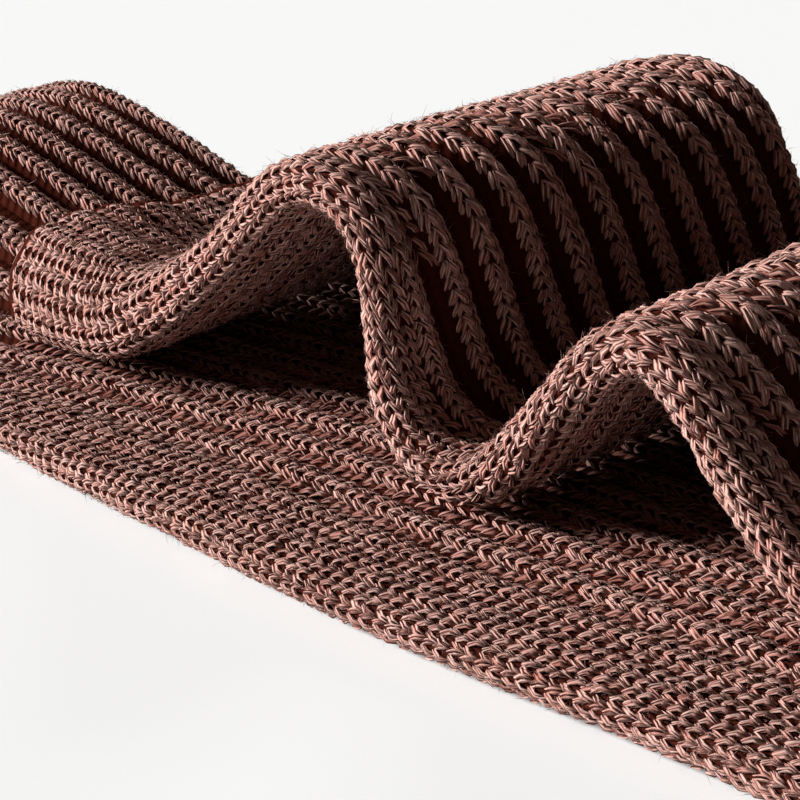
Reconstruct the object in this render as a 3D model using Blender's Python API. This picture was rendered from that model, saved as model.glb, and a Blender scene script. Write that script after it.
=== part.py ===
"""A pair of rib-knit calf socks: one lies flat, the other lies on it in two waves.

Each sock is one tube of cloth, open at the cuff and closed at the toe, and pressed flat. Its
wall is lofted through sections across the sock. The outer points of a section carry the ribs,
the inner ones are plain. Named sizes and tables are in millimetres in a layout whose +X runs
down the legs from cuff to heel, whose +Y runs across them and whose +Z is up.
"""

from collections import namedtuple
from math import cos, hypot, pi, radians, sin

import bmesh
import bpy
import numpy as np

MM = 0.001

# Cloth
FLAT_WIDTH = 67.0  # leg pressed flat, fold to fold
WALL = 2.3  # rib cloth, from the inside to the top of a rib
RIBS = 24  # ribs round the leg
RIB_DEPTH = 0.7  # groove between two ribs
LOWER_THICK = 5.0  # both layers of the flat sock
UPPER_REST_THICK = 5.6  # both layers of the waved sock where it lies down
SEAM_GAP = 0.35  # between the two socks where they touch

# Rings of a section
UNDER_POINTS = 8  # plain steps along the underside that lies on the floor
INNER_POINTS = 14
INNER_END = 5.8  # half width of the toe where the inside ends
FOLD_BLEND = 24.0  # from the near fold to where the thickness is that of the far fold
PUFF_ROUND = 0.5  # a puff widens the round of the near fold by this share of its height

# Stations along the sock
WAVE_STEP = 4.6
LIFT_STEP = 6.2
FLAT_STEP = 15.0
SLOPE_REACH = 0.5  # the slope of a wave is taken this far before and behind a station
CURVE_SAMPLES = 40  # points of a smooth curve for each row of its table

# Heel, foot and toe, pressed flat on one side
LEG_LENGTH = 236.0  # along the cloth, from the cuff to where the heel begins
LOWER_TURN = 67.0  # degrees from the leg's line to the foot's
UPPER_TURN = 61.0
TURN_RADIUS = 43.0
TURN_STEPS = 8
HEEL_BULGE = 13.0
HEEL_POWER = 1.5  # above 1, the bulge starts softly
SOLE_START = 0.35  # the plain heel grows in over this share of the turn
TOE_LENGTH = 40.0
TOE_POWER = 2.2
TOE_STOPS = (0.3, 0.55, 0.74, 0.88, 0.96, 1.0)
TOE_TIP = 0.3  # width of the blunt tip, as a share of the foot

# Foot: the distance from its middle line to the sole's fold and to the instep's fold
FootRow = namedtuple("FootRow", "length sole instep")
FOOT = (
    FootRow(0.0, 33.5, 33.5),
    FootRow(25.0, 32.6, 32.4),
    FootRow(55.0, 30.6, 32.0),
    FootRow(85.0, 31.2, 32.2),
    FootRow(112.0, 33.0, 32.6),
    FootRow(136.0, 32.6, 31.6),
)
FOOT_STEP = 22.0

# Where each sock lies across the layout, at its near fold
LOWER_NEAR = 0.0
UPPER_NEAR = 17.9
# The far side of a sock is lifted, and its near side is not
LIFT_START = 16.0
LIFT_BLEND = 26.0
# A wave leans and droops more and more towards the far fold
LEAN_START = 24.0
LEAN_BLEND = 60.0
# Where the waved sock rests on the flat one, and how it sinks to the floor past its edge
REST_MIDDLE = LOWER_THICK + SEAM_GAP + UPPER_REST_THICK / 2
FLOOR_GAP = 0.4
SINK = LOWER_THICK + SEAM_GAP - FLOOR_GAP
SINK_START = 3.0
SINK_BLEND = 16.0

# The middle of the pair's outline on the floor, in the layout
LAYOUT_MIDDLE = (75.7, 114.3)

# Flat sock: how high its far side is lifted over its cuff end, and how its near fold bows
LowerRow = namedtuple("LowerRow", "x lift near_edge")
LOWER_LEG = (
    LowerRow(-130.0, 0.3, 1.5),
    LowerRow(-123.0, 3.6, 1.5),
    LowerRow(-114.0, 9.3, 1.5),
    LowerRow(-105.0, 13.2, 1.4),
    LowerRow(-96.0, 15.0, 1.4),
    LowerRow(-87.0, 14.4, 1.3),
    LowerRow(-70.0, 10.5, 1.2),
    LowerRow(-52.0, 5.0, 1.2),
    LowerRow(-43.0, 2.2, 1.1),
    LowerRow(-35.0, 0.5, 0.9),
    LowerRow(-27.0, 0.0, 0.7),
    LowerRow(15.0, 0.0, -1.4),
    LowerRow(40.0, 0.0, -1.2),
    LowerRow(70.0, 0.0, 0.6),
    LowerRow(105.0, 0.0, 0.0),
)

# Waved sock: the middle of its near fold, its thickness at each fold, how the near fold bows
# out, how high its far side is lifted, how far its far fold leans and droops, how far it has
# come to rest (0 in a wave, 1 where it lies flat), and how far its upper layer puffs up there
UpperRow = namedtuple("UpperRow", "x z near_thick far_thick near_edge lift lean droop rest puff")
UPPER_LEG = (
    UpperRow(-51.0, 8.6, 5.8, 6.2, 0.6, 4.8, 0.0, 0.0, 0.0, 6.2),
    UpperRow(-45.0, 8.7, 6.2, 6.2, 1.4, 3.5, 0.0, 0.0, 0.0, 6.6),
    UpperRow(-38.0, 9.2, 7.0, 6.2, 1.8, 1.4, 0.0, 0.0, 0.0, 6.0),
    UpperRow(-31.0, 10.3, 7.2, 6.2, 1.6, 0.0, 0.0, 0.0, 0.0, 5.0),
    UpperRow(-24.6, 13.7, 6.9, 6.2, 1.0, 0.0, -1.6, 0.0, 0.0, 2.4),
    UpperRow(-18.0, 18.9, 6.6, 6.2, 0.4, 0.0, -3.0, 0.2, 0.0, 0.9),
    UpperRow(-11.0, 25.0, 6.2, 6.2, 0.0, 0.0, -3.8, 0.6, 0.0, 0.0),
    UpperRow(-5.6, 30.2, 6.2, 6.2, 0.0, 0.0, -3.6, 1.1, 0.0, 0.0),
    UpperRow(-1.2, 34.0, 6.2, 6.2, 0.0, 0.0, -2.4, 1.6, 0.0, 0.0),
    UpperRow(3.9, 35.7, 6.2, 6.2, 0.0, 0.0, -0.6, 1.8, 0.0, 0.0),
    UpperRow(8.8, 34.5, 6.2, 6.2, 0.0, 0.0, 1.2, 1.6, 0.0, 0.0),
    UpperRow(12.0, 31.0, 6.2, 6.2, 0.0, 0.0, 2.4, 1.2, 0.0, 0.0),
    UpperRow(13.3, 26.2, 6.2, 6.2, 0.0, 0.0, 3.4, 0.8, 0.0, 0.0),
    UpperRow(13.9, 20.6, 6.2, 6.2, 0.0, 0.0, 4.2, 0.5, 0.0, 0.0),
    UpperRow(15.0, 15.2, 6.2, 6.2, 0.4, 0.0, 4.0, 0.2, 0.0, 0.0),
    UpperRow(17.4, 11.2, 6.2, 6.2, 0.8, 0.0, 3.0, 0.0, 0.0, 0.0),
    UpperRow(21.0, 8.9, 6.2, 6.2, 1.2, 0.0, 1.6, 0.0, 0.0, 0.0),
    UpperRow(25.2, 8.5, 6.2, 6.2, 1.2, 0.0, 0.4, 0.0, 0.0, 0.0),
    UpperRow(29.0, 9.8, 6.2, 6.2, 1.0, 0.0, 0.0, 0.0, 0.0, 0.0),
    UpperRow(32.8, 13.4, 6.2, 6.2, 0.6, 0.0, 0.0, 0.0, 0.0, 0.0),
    UpperRow(37.0, 18.6, 6.4, 6.2, 0.2, 0.0, 0.0, -0.4, 0.0, 0.0),
    UpperRow(41.0, 23.6, 6.6, 6.2, 0.0, 0.0, 0.0, -0.8, 0.0, 0.0),
    UpperRow(45.2, 27.3, 6.8, 6.2, 0.0, 0.0, 0.0, -1.0, 0.0, 0.0),
    UpperRow(49.8, 28.4, 6.8, 6.2, 0.0, 0.0, 0.0, -1.0, 0.0, 0.0),
    UpperRow(54.0, 25.6, 6.6, 6.2, 0.0, 0.0, 0.6, -0.6, 0.0, 0.0),
    UpperRow(58.8, 20.1, 6.4, 6.2, 0.0, 0.0, 1.2, -0.2, 0.0, 0.0),
    UpperRow(64.2, 14.4, 6.2, 6.0, 0.0, 0.0, 1.0, 0.0, 0.0, 0.0),
    UpperRow(69.6, 10.2, 5.9, 5.8, 0.0, 0.0, 0.4, 0.0, 0.2, 0.0),
    UpperRow(76.0, 8.5, 5.6, 5.6, 0.0, 0.0, 0.0, 0.0, 0.6, 0.0),
    UpperRow(84.0, REST_MIDDLE, UPPER_REST_THICK, UPPER_REST_THICK, 0.0, 0.0, 0.0, 0.0, 1.0, 0.0),
)

BROWN = (0.165, 0.072, 0.056, 1.0)
ROUGHNESS = 0.92

# A section: a centre, its side and up directions, the distance to each fold, how the far side
# is moved, and the shares of its ribs that are kept on the instep half and on the heel half
Section = namedtuple(
    "Section",
    "centre side up near far near_thick far_thick lift lean droop rest puff instep heel",
)


def clear_scene():
    """Remove what a new file holds."""
    for item in list(bpy.data.objects):
        bpy.data.objects.remove(item, do_unlink=True)


def smoothstep(value):
    """0 below 0, 1 above 1 and a soft S between."""
    value = np.clip(value, 0.0, 1.0)
    return value * value * (3.0 - 2.0 * value)


def smooth_rows(rows):
    """A dense Catmull-Rom curve through the rows, all columns at once."""
    points = np.array(rows, dtype=float)
    points = np.vstack([2 * points[0] - points[1], points, 2 * points[-1] - points[-2]])
    spans = []
    for start in range(1, len(points) - 2):
        before, first, last, after = points[start - 1 : start + 3]
        share = np.linspace(0.0, 1.0, CURVE_SAMPLES, endpoint=False)[:, None]
        spans.append(
            0.5
            * (
                2 * first
                + (last - before) * share
                + (2 * before - 5 * first + 4 * last - after) * share**2
                + (3 * first - before - 3 * last + after) * share**3
            )
        )
    return np.vstack(spans + [points[-2:-1]])


def along(curve, columns):
    """The length of the curve up to each of its points, measured in the given columns."""
    steps = np.diff(curve[:, columns], axis=0)
    return np.concatenate([[0.0], np.cumsum(np.linalg.norm(steps, axis=1))])


def resample(curve, lengths, stops):
    """The curve's columns at the given lengths."""
    columns = [np.interp(stops, lengths, column) for column in curve.T]
    return np.array(columns).T


def even_stops(start, end, step):
    """Lengths from start to end in equal steps of about the given size."""
    count = max(1, round((end - start) / step))
    return np.linspace(start, end, count + 1)


def lower_leg():
    """Sections of the flat sock's leg: close together where it is lifted."""
    curve = smooth_rows(LOWER_LEG)
    lifted_end = next(row.x for row in LOWER_LEG if row.lift == 0.0)
    stops = np.concatenate(
        [
            even_stops(LOWER_LEG[0].x, lifted_end, LIFT_STEP)[:-1],
            even_stops(lifted_end, LOWER_LEG[-1].x, FLAT_STEP),
        ]
    )
    sections = []
    for x, lift, near_edge in resample(curve, curve[:, 0], stops):
        middle = LOWER_NEAR + FLAT_WIDTH / 2
        sections.append(
            Section(
                centre=np.array([x, middle, LOWER_THICK / 2]),
                side=np.array([0.0, 1.0, 0.0]),
                up=np.array([0.0, 0.0, 1.0]),
                near=FLAT_WIDTH / 2 - near_edge,
                far=FLAT_WIDTH / 2,
                near_thick=LOWER_THICK,
                far_thick=LOWER_THICK,
                lift=max(0.0, lift),
                lean=0.0,
                droop=0.0,
                rest=0.0,
                puff=0.0,
                instep=1.0,
                heel=1.0,
            )
        )
    return sections


def upper_leg():
    """Sections of the waved sock's leg, each square to the wave's own line."""
    curve = smooth_rows(UPPER_LEG)
    lengths = along(curve, [0, 1])
    waved = even_stops(0.0, lengths[-1], WAVE_STEP)
    rows = resample(curve, lengths, waved)
    ahead = resample(curve, lengths, np.minimum(waved + SLOPE_REACH, lengths[-1]))
    behind = resample(curve, lengths, np.maximum(waved - SLOPE_REACH, 0.0))
    sections = []
    for row, after, before in zip(rows, ahead, behind):
        x, z, near_thick, far_thick, near_edge, lift, lean, droop, rest, puff = row
        run = after[0] - before[0]
        rise = after[1] - before[1]
        slope = hypot(run, rise)
        sections.append(
            Section(
                centre=np.array([x, UPPER_NEAR + FLAT_WIDTH / 2, z]),
                side=np.array([0.0, 1.0, 0.0]),
                up=np.array([-rise / slope, 0.0, run / slope]),
                near=FLAT_WIDTH / 2 + near_edge,
                far=FLAT_WIDTH / 2,
                near_thick=near_thick,
                far_thick=far_thick,
                lift=max(0.0, lift),
                lean=lean,
                droop=droop,
                rest=min(1.0, max(0.0, rest)),
                puff=max(0.0, puff),
                instep=1.0,
                heel=1.0,
            )
        )
    flat = {"up": np.array([0.0, 0.0, 1.0]), "lean": 0.0, "droop": 0.0}
    sections[-1] = sections[-1]._replace(**flat)
    return sections, LEG_LENGTH - lengths[-1]


def straight_on(last, length, step):
    """Sections that carry the last one on along the floor, without the last itself."""
    forward = np.cross(last.side, last.up)
    return [
        last._replace(centre=last.centre + forward * stop)
        for stop in even_stops(0.0, length, step)[1:]
    ]


def turned(last, angle, near):
    """The last leg section, swung about the instep point into the heel turn."""
    pivot = last.centre + last.side * TURN_RADIUS
    side = np.array([-sin(angle), cos(angle), 0.0])
    return last._replace(centre=pivot - side * TURN_RADIUS, side=side, near=near)


def heel_turn(last, angle):
    """Sections that fan round the instep, widest at the heel's corner."""
    sections = []
    for step in range(1, TURN_STEPS + 1):
        share = step / TURN_STEPS
        near = last.near + HEEL_BULGE * sin(pi * share) ** HEEL_POWER
        section = turned(last, radians(angle) * share, near)
        plain = float(smoothstep(share / SOLE_START))
        sections.append(section._replace(heel=1.0 - plain))
    return sections


def toe(last):
    """Sections that narrow to the blunt, closed tip."""
    forward = np.cross(last.side, last.up)
    sections = []
    for stop in TOE_STOPS:
        width = (1.0 - (1.0 - TOE_TIP**TOE_POWER) * stop**TOE_POWER) ** (1.0 / TOE_POWER)
        sections.append(
            last._replace(
                centre=last.centre + forward * TOE_LENGTH * stop,
                near=last.near * width,
                far=last.far * width,
                instep=1.0 - float(smoothstep(stop / TOE_STOPS[1])),
                heel=0.0,
            )
        )
    return sections


def foot(last):
    """Sections from the heel to the toe, without the heel's last one."""
    curve = smooth_rows(FOOT)
    forward = np.cross(last.side, last.up)
    stops = even_stops(0.0, FOOT[-1].length, FOOT_STEP)[1:]
    return [
        last._replace(centre=last.centre + forward * length, near=sole, far=instep)
        for length, sole, instep in resample(curve, curve[:, 0], stops)
    ]


def foot_and_toe(sections, angle):
    """The leg's sections with heel, foot and toe added."""
    sections = sections + heel_turn(sections[-1], angle)
    sections += foot(sections[-1])
    return sections + toe(sections[-1])


def round_section(section, share, inset):
    """A point of the flattened ring and its outward direction, in side and up.

    The share runs from the middle of the near fold over the top to the far fold and back
    below. The inset moves the whole ring inwards.
    """
    near = section.near - inset
    far = section.far - inset
    below = share > 0.5
    near_high = section.near_thick / 2 - inset
    near_radius = near_high
    if not below:
        near_high += section.puff
        near_radius += section.puff * PUFF_ROUND
    far_radius = section.far_thick / 2 - inset
    straight = near + far - near_radius - far_radius
    half = pi * (near_radius + far_radius) / 2 + straight
    travel = half * 2 * (1.0 - share if below else share)
    near_arc = pi * near_radius / 2
    if travel < near_arc:
        angle = travel / near_radius
        across = -near + near_radius * (1.0 - cos(angle))
        high = near_high * sin(angle)
        outward = (-cos(angle), sin(angle))
    elif travel < near_arc + straight:
        run = travel - near_arc
        blend = float(smoothstep(run / FOLD_BLEND))
        across = -near + near_radius + run
        high = near_high + (far_radius - near_high) * blend
        outward = (0.0, 1.0)
    else:
        angle = (half - travel) / far_radius
        across = far - far_radius * (1.0 - cos(angle))
        high = far_radius * sin(angle)
        outward = (cos(angle), sin(angle))
    sign = -1.0 if below else 1.0
    return across, sign * high, outward[0], sign * outward[1]


def outside(outline, points):
    """How far each point lies outside a closed outline, and 0 for points inside it."""
    starts = outline
    ends = np.roll(outline, -1, axis=0)
    edges = ends - starts
    toward = points[:, None, :] - starts[None, :, :]
    share = np.einsum("pek,ek->pe", toward, edges) / np.einsum("ek,ek->e", edges, edges)
    nearest = starts + np.clip(share, 0.0, 1.0)[:, :, None] * edges
    distance = np.linalg.norm(points[:, None, :] - nearest, axis=2).min(axis=1)
    straddles = (starts[None, :, 1] > points[:, 1:2]) != (ends[None, :, 1] > points[:, 1:2])
    rise = np.where(edges[:, 1] == 0.0, 1.0, edges[:, 1])
    crossing = starts[:, 0] + (points[:, 1:2] - starts[:, 1]) * edges[:, 0] / rise
    inside = (straddles & (points[:, 0:1] < crossing)).sum(axis=1) % 2 == 1
    return np.where(inside, 0.0, distance)


def plan_outline(sections):
    """The sock's outline seen from above."""
    near = [(s.centre - s.side * s.near)[:2] for s in sections]
    far = [(s.centre + s.side * s.far)[:2] for s in sections]
    return np.array(near + far[::-1])


def ring(section, shares, inset, grooved, under):
    """The ring's points in space, in metres, before the layout is centred."""
    points = []
    for number, share in enumerate(shares):
        across, high, out_across, out_high = round_section(section, share, inset)
        if grooved[number]:
            kept = section.heel if across < 0.0 else section.instep
            across -= out_across * RIB_DEPTH * kept
            high -= out_high * RIB_DEPTH * kept
        points.append(section.centre + section.side * across + section.up * high)
    points = np.array(points)
    leaning = smoothstep((points[:, 1] - LEAN_START) / LEAN_BLEND)
    points[:, 0] += section.lean * leaning
    points[:, 2] -= section.droop * leaning
    points[:, 2] += section.lift * smoothstep((points[:, 1] - LIFT_START) / LIFT_BLEND)
    if section.rest and under is not None:
        past = outside(under, points[:, :2])
        points[:, 2] -= section.rest * SINK * smoothstep((past - SINK_START) / SINK_BLEND)
    points[:, 0] -= LAYOUT_MIDDLE[0]
    points[:, 1] -= LAYOUT_MIDDLE[1]
    return points * MM


def add_ring(mesh, points):
    """The ring's points as mesh vertices."""
    return [mesh.verts.new(point) for point in points]


def join_rings(mesh, first, last):
    """Quads between two rings with the same number of points."""
    for number in range(len(first)):
        after = (number + 1) % len(first)
        mesh.faces.new((first[number], first[after], last[after], last[number]))


def join_unlike(mesh, outer, outer_shares, inner, inner_shares):
    """Triangles between two rings with different numbers of points."""
    here = 0
    there = 0
    while here < len(outer) or there < len(inner):
        next_outer = outer_shares[here + 1] if here + 1 < len(outer) else 1.0
        next_inner = inner_shares[there + 1] if there + 1 < len(inner) else 1.0
        from_outer = outer[here % len(outer)]
        from_inner = inner[there % len(inner)]
        step_outer = there >= len(inner) or (here < len(outer) and next_outer <= next_inner)
        if step_outer:
            here += 1
            mesh.faces.new((from_outer, from_inner, outer[here % len(outer)]))
        else:
            there += 1
            mesh.faces.new((from_outer, from_inner, inner[there % len(inner)]))


def build_sock(name, sections, shares, grooved, under, collection, material):
    """Loft the wall: ribbed outside, plain inside, rim at the cuff and closed at the toe."""
    plain = [number / INNER_POINTS for number in range(INNER_POINTS)]
    mesh = bmesh.new()
    outer = [add_ring(mesh, ring(s, shares, 0.0, grooved, under)) for s in sections]
    flat = [False] * INNER_POINTS
    reach = [s for s in sections if s.near > INNER_END]
    tip = reach[-1]
    forward = np.cross(tip.side, tip.up)
    reach[-1] = tip._replace(centre=tip.centre - forward * WALL)
    inner = [add_ring(mesh, ring(s, plain, WALL, flat, under)) for s in reach]
    for rings in (outer, inner):
        for first, last in zip(rings, rings[1:]):
            join_rings(mesh, first, last)
        mesh.faces.new(rings[-1])
    join_unlike(mesh, outer[0], shares, inner[0], plain)
    bmesh.ops.recalc_face_normals(mesh, faces=mesh.faces)
    bmesh.ops.triangulate(mesh, faces=mesh.faces)
    data = bpy.data.meshes.new(name)
    mesh.to_mesh(data)
    mesh.free()
    data.materials.append(material)
    sock = bpy.data.objects.new(name, data)
    collection.objects.link(sock)
    return sock


def knit_material(name, colour):
    """Soft brown wool, with no shine."""
    material = bpy.data.materials.new(name)
    material.use_nodes = True
    shader = material.node_tree.nodes["Principled BSDF"]
    shader.inputs["Base Color"].default_value = colour
    shader.inputs["Roughness"].default_value = ROUGHNESS
    shader.inputs["Metallic"].default_value = 0.0
    return material


def rib_shares():
    """Shares of the ring for the grooves and crests of every rib, and which are grooves."""
    shares = [number / (2 * RIBS) for number in range(2 * RIBS)]
    grooved = [number % 2 == 0 for number in range(2 * RIBS)]
    return shares, grooved


def floor_shares():
    """The same ribs on top, with plain steps along the underside that lies on the floor."""
    shares, grooved = rib_shares()
    shares = shares[: RIBS + 1]
    grooved = grooved[: RIBS + 1]
    for number in range(1, UNDER_POINTS):
        shares.append(0.5 + 0.5 * number / UNDER_POINTS)
        grooved.append(False)
    return shares, grooved


def main():
    clear_scene()
    collection = bpy.data.collections.new("pair of calf socks")
    bpy.context.scene.collection.children.link(collection)
    lower = foot_and_toe(lower_leg(), LOWER_TURN)
    waved, rest_of_leg = upper_leg()
    upper = foot_and_toe(waved + straight_on(waved[-1], rest_of_leg, FLAT_STEP), UPPER_TURN)
    shares, grooved = floor_shares()
    build_sock(
        "sock_lower", lower, shares, grooved, None, collection, knit_material("lower knit", BROWN)
    )
    shares, grooved = rib_shares()
    build_sock(
        "sock_upper",
        upper,
        shares,
        grooved,
        plan_outline(lower),
        collection,
        knit_material("upper knit", BROWN),
    )


main()
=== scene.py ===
"""Looks of a pair of rib-knit calf socks: cloth, knit stitches, stray fibres and a pale stage.

Both socks are rebuilt finer than their solids, from the same tables of sizes. Each gets a thin
shell of cloth with soft ribs, and every stitch that shows is a pair of yarn legs on that shell.
Sizes are in millimetres in a layout whose +X runs down the legs from cuff to heel, whose +Y runs
across them and whose +Z is up. The object's own frame is that layout, moved to its middle.
"""

from collections import namedtuple
from functools import lru_cache
from math import ceil, cos, hypot, pi, radians, sin

import bpy
import numpy as np
from mathutils import Matrix, Vector
from mathutils.bvhtree import BVHTree


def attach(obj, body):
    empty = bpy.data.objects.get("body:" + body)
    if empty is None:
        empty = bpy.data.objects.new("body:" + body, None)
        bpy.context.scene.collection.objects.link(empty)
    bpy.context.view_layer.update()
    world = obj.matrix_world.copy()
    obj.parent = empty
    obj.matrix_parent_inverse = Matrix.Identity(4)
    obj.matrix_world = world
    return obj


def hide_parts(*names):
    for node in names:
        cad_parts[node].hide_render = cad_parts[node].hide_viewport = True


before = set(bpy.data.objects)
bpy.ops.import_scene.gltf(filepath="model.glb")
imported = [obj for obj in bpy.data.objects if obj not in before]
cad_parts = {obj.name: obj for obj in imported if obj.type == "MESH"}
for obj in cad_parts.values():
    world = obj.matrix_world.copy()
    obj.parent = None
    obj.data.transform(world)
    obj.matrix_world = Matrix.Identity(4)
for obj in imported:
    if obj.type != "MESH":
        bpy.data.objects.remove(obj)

bl_info = {
    "name": "Pair of calf socks",
    "version": (1, 0, 0),
    "blender": (4, 5, 0),
    "location": "View3D > Sidebar > Socks",
    "description": "Dresses a pair of rib-knit calf socks in knit stitches, and sets its stage",
    "category": "Object",
}

MM = 0.001
SEED = 41
STITCH_SEED = SEED + 2
FIBRE_SEED = SEED + 4

# Cloth, as in the solids
FLAT_WIDTH = 67.0
WALL = 2.3
RIBS = 24
LOWER_THICK = 5.0
UPPER_THICK = 6.2
UPPER_REST_THICK = 5.6
SEAM_GAP = 0.35
FOLD_BLEND = 24.0
PUFF_ROUND = 0.5
SECTION_STEP = 2.4
REST_STEP = 4.0
CURVE_SAMPLES = 40
SLOPE_REACH = 0.5
ACROSS = np.array([0.0, 1.0, 0.0])
UPWARD = np.array([0.0, 0.0, 1.0])

# Heel, foot and toe, as in the solids
LEG_LENGTH = 236.0
LOWER_TURN = 67.0
UPPER_TURN = 61.0
TURN_RADIUS = 43.0
HEEL_BULGE = 13.0
HEEL_POWER = 1.5
SOLE_START = 0.35
TOE_LENGTH = 40.0
TOE_POWER = 2.2
TOE_TIP = 0.3
TOE_PLAIN = 0.55
FootRow = namedtuple("FootRow", "length sole instep")
FOOT = (
    FootRow(0.0, 33.5, 33.5),
    FootRow(25.0, 32.6, 32.4),
    FootRow(55.0, 30.6, 32.0),
    FootRow(85.0, 31.2, 32.2),
    FootRow(112.0, 33.0, 32.6),
    FootRow(136.0, 32.6, 31.6),
)

# Where each sock lies, as in the solids
LOWER_NEAR = 0.0
UPPER_NEAR = 17.9
LIFT_START = 16.0
LIFT_BLEND = 26.0
LEAN_START = 24.0
LEAN_BLEND = 60.0
REST_MIDDLE = LOWER_THICK + SEAM_GAP + UPPER_REST_THICK / 2
FLOOR_GAP = 0.4
SINK = LOWER_THICK + SEAM_GAP - FLOOR_GAP
SINK_START = 3.0
SINK_BLEND = 16.0
LAYOUT_MIDDLE = (75.7, 114.3)

# Flat sock: how high its far side is lifted over its cuff end, how far its near fold bows in,
# and how far its ribs are pulled open
LowerRow = namedtuple("LowerRow", "x lift near_edge open")
LOWER_LEG = (
    LowerRow(-130.0, 0.3, 1.5, 0.3),
    LowerRow(-123.0, 3.6, 1.5, 0.6),
    LowerRow(-114.0, 9.3, 1.5, 0.9),
    LowerRow(-105.0, 13.2, 1.4, 1.0),
    LowerRow(-96.0, 15.0, 1.4, 1.0),
    LowerRow(-87.0, 14.4, 1.3, 1.0),
    LowerRow(-70.0, 10.5, 1.2, 1.0),
    LowerRow(-52.0, 5.0, 1.2, 0.8),
    LowerRow(-43.0, 2.2, 1.1, 0.7),
    LowerRow(-35.0, 0.5, 0.9, 0.7),
    LowerRow(-27.0, 0.0, 0.7, 0.7),
    LowerRow(15.0, 0.0, -1.4, 0.65),
    LowerRow(40.0, 0.0, -1.2, 0.6),
    LowerRow(70.0, 0.0, 0.6, 0.4),
    LowerRow(105.0, 0.0, 0.0, 0.2),
)

# Waved sock: the middle of its near fold, how far that fold bows out, how far its far fold leans
# and droops, and how far its ribs are pulled open. Where they differ, also its thickness at each
# fold, how high its far side is lifted, how far its upper layer puffs up, and how far it has come
# to rest.
UpperRow = namedtuple(
    "UpperRow",
    "x z near_edge lean droop open near_thick far_thick lift puff rest",
    defaults=(UPPER_THICK, UPPER_THICK, 0.0, 0.0, 0.0),
)
UPPER_LEG = (
    UpperRow(-51.0, 8.6, 0.6, 0.0, 0.0, 0.2, near_thick=5.8, lift=4.8, puff=6.2),
    UpperRow(-45.0, 8.7, 1.4, 0.0, 0.0, 0.2, lift=3.5, puff=6.6),
    UpperRow(-38.0, 9.2, 1.8, 0.0, 0.0, 0.2, near_thick=7.0, lift=1.4, puff=6.0),
    UpperRow(-31.0, 10.3, 1.6, 0.0, 0.0, 0.2, near_thick=7.2, puff=5.0),
    UpperRow(-24.6, 13.7, 1.0, -1.6, 0.0, 0.2, near_thick=6.9, puff=2.4),
    UpperRow(-18.0, 18.9, 0.4, -3.0, 0.2, 0.3, near_thick=6.6, puff=0.9),
    UpperRow(-11.0, 25.0, 0.0, -3.8, 0.6, 0.3),
    UpperRow(-5.6, 30.2, 0.0, -3.6, 1.1, 0.4),
    UpperRow(-1.2, 34.0, 0.0, -2.4, 1.6, 0.5),
    UpperRow(3.9, 35.7, 0.0, -0.6, 1.8, 0.7),
    UpperRow(8.8, 34.5, 0.0, 1.2, 1.6, 0.9),
    UpperRow(12.0, 31.0, 0.0, 2.4, 1.2, 1.0),
    UpperRow(13.3, 26.2, 0.0, 3.4, 0.8, 1.0),
    UpperRow(13.9, 20.6, 0.0, 4.2, 0.5, 1.0),
    UpperRow(15.0, 15.2, 0.4, 4.0, 0.2, 1.0),
    UpperRow(17.4, 11.2, 0.8, 3.0, 0.0, 0.9),
    UpperRow(21.0, 8.9, 1.2, 1.6, 0.0, 0.8),
    UpperRow(25.2, 8.5, 1.2, 0.4, 0.0, 0.6),
    UpperRow(29.0, 9.8, 1.0, 0.0, 0.0, 0.5),
    UpperRow(32.8, 13.4, 0.6, 0.0, 0.0, 0.4),
    UpperRow(37.0, 18.6, 0.2, 0.0, -0.4, 0.4, near_thick=6.4),
    UpperRow(41.0, 23.6, 0.0, 0.0, -0.8, 0.4, near_thick=6.6),
    UpperRow(45.2, 27.3, 0.0, 0.0, -1.0, 0.5, near_thick=6.8),
    UpperRow(49.8, 28.4, 0.0, 0.0, -1.0, 0.7, near_thick=6.8),
    UpperRow(54.0, 25.6, 0.0, 0.6, -0.6, 0.9, near_thick=6.6),
    UpperRow(58.8, 20.1, 0.0, 1.2, -0.2, 1.0, near_thick=6.4),
    UpperRow(64.2, 14.4, 0.0, 1.0, 0.0, 1.0, far_thick=6.0),
    UpperRow(69.6, 10.2, 0.0, 0.4, 0.0, 0.9, near_thick=5.9, far_thick=5.8, rest=0.2),
    UpperRow(76.0, 8.5, 0.0, 0.0, 0.0, 0.6, near_thick=5.6, far_thick=5.6, rest=0.6),
    UpperRow(84.0, REST_MIDDLE, 0.0, 0.0, 0.0, 0.3, UPPER_REST_THICK, UPPER_REST_THICK, rest=1.0),
)

# Knit: one stitch is two yarn legs that open towards the toe. Each distance between ribs holds
# three columns of stitches: two on the rib and one in the recess beside it.
LOWER_COURSE = 1.64  # height of a row of stitches
UPPER_COURSE = 1.6
POINTS_PER_RIB = 6
SHELL_INSET = 0.6  # the cloth lies this far under the tops of the stitches
CLOSED_HALF = 0.335  # half width of a rib, as a share of the distance between ribs
CLOSED_CROWN = 0.15  # how far a rib's sides lie below its top
OPEN_CROWN = 0.9
CROWN_REACH = 1.2  # the crown's curve ends this far out, in half widths
CLOSED_DEPTH = 0.3  # recess between ribs, below their tops
OPEN_DEPTH = 1.5
SLOPE_FALL = 2.0  # recesses are shallower where the cloth slopes
RECESS_WALL = 0.7  # share of the recess that its walls take up
RECESS_BARE = 0.8  # ribs opened further than this show no stitches between them
RECESS_PAINTED_SHADE = 1.6  # painted shade: stitches between open ribs are coloured this much less bright
OPEN_NOISE = 0.08  # ribs differ a little in how far they are open
UNDER_FADE = 4.0  # ribs and stitches end this far round a fold that rests
REST_FULL = 0.5  # a sock that has come this far to rest hides its underside
RESTING = 0.9  # and one that has come this far hides what it lies on
COVER_MARGIN = 4.0  # the lower sock's stitches end this far under the resting sock

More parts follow.
